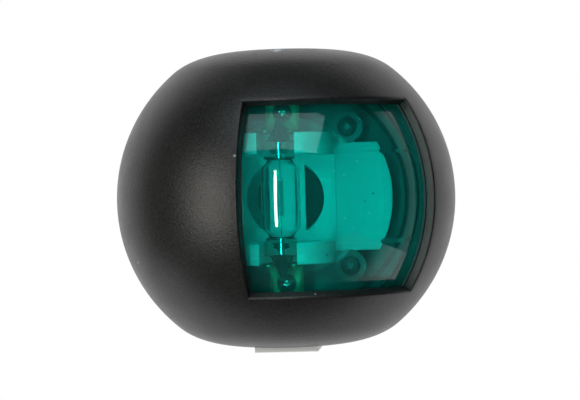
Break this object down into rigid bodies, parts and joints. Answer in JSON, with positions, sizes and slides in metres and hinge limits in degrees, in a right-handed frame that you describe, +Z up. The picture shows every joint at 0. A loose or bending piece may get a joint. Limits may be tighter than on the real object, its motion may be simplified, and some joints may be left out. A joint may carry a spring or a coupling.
{
  "type": "navigation light",
  "caption": "Globe-shaped starboard sidelight: black cover with a side window and green lens over a white wall base that holds a festoon lamp.",
  "frame": {"origin": "centre of the wall face, at the back of the light", "axes": "+Y out of the wall face into the wall, -Y the way the light looks, +X to the right seen from the front, +Z up"},
  "size_m": [0.092, 0.0689, 0.081],
  "materials": {
    "black_plastic": "fine grained matte moulding",
    "white_plastic": "smooth satin moulding",
    "green_lens": "clear polished coloured plastic",
    "clear_glass": "clear drawn glass",
    "rubber": "smooth moulded rubber",
    "steel": "stainless steel",
    "nickel": "nickel plate",
    "brass": "plain brass",
    "tungsten": "drawn wire",
    "mark_paint": "pale inlay"
  },
  "bodies": {
    "base": {"wall_gasket": "rubber", "base_plate": "white_plastic", "cable_grommet": "rubber", "cover_seal": "rubber", "lamp_carrier": "white_plastic", "reflector_panel": "white_plastic", "carrier_screw_1": "steel", "carrier_screw_2": "steel", "carrier_screw_3": "steel", "carrier_screw_4": "steel", "contact_rivet_upper": "nickel", "contact_rivet_lower": "nickel", "threaded_insert": "brass"},
    "contact_upper": {"contact_upper": "brass", "terminal_screw_upper": "nickel"},
    "contact_lower": {"contact_lower": "brass", "terminal_screw_lower": "nickel"},
    "cover": {"cover_shell": "black_plastic", "lens_gasket": "rubber", "lens": "green_lens", "up_mark": "mark_paint"},
    "lamp": {"lamp_glass": "clear_glass", "lamp_cap_upper": "nickel", "lamp_cap_lower": "nickel", "lamp_filament": "tungsten"},
    "lock_washer": {"lock_washer": "rubber"},
    "lock_screw": {"lock_screw": "steel"}
  },
  "joints": [
    {"name": "cover_pull", "type": "slide", "parent": "base", "child": "cover", "axis": [0, -1, 0], "range_m": [0, 0.05]},
    {"name": "lamp_pull", "type": "slide", "parent": "base", "child": "lamp", "axis": [0, -1, 0], "range_m": [0, 0.012]},
    {"name": "contact_upper_flex", "type": "hinge", "parent": "base", "child": "contact_upper", "pos_m": [0, -0.0335, 0.0171], "axis": [-1, 0, 0], "range_deg": [0, 3], "stiffness_Nm_per_rad": 0.6},
    {"name": "contact_lower_flex", "type": "hinge", "parent": "base", "child": "contact_lower", "pos_m": [0, -0.0335, -0.0171], "axis": [1, 0, 0], "range_deg": [0, 3], "stiffness_Nm_per_rad": 0.6},
    {"name": "lock_screw_turn", "type": "hinge", "parent": "lock_washer", "child": "lock_screw", "pos_m": [0, -0.024, -0.0396], "axis": [0, 0, -1], "range_deg": [0, 1800]},
    {"name": "lock_screw_travel", "type": "slide", "parent": "base", "child": "lock_washer", "axis": [0, 0, -1], "range_m": [0, 0.0035]}
  ],
  "couplings": [
    {"joint": "lock_screw_turn", "follows": "lock_screw_travel", "rad_per_m": 8976}
  ]
}
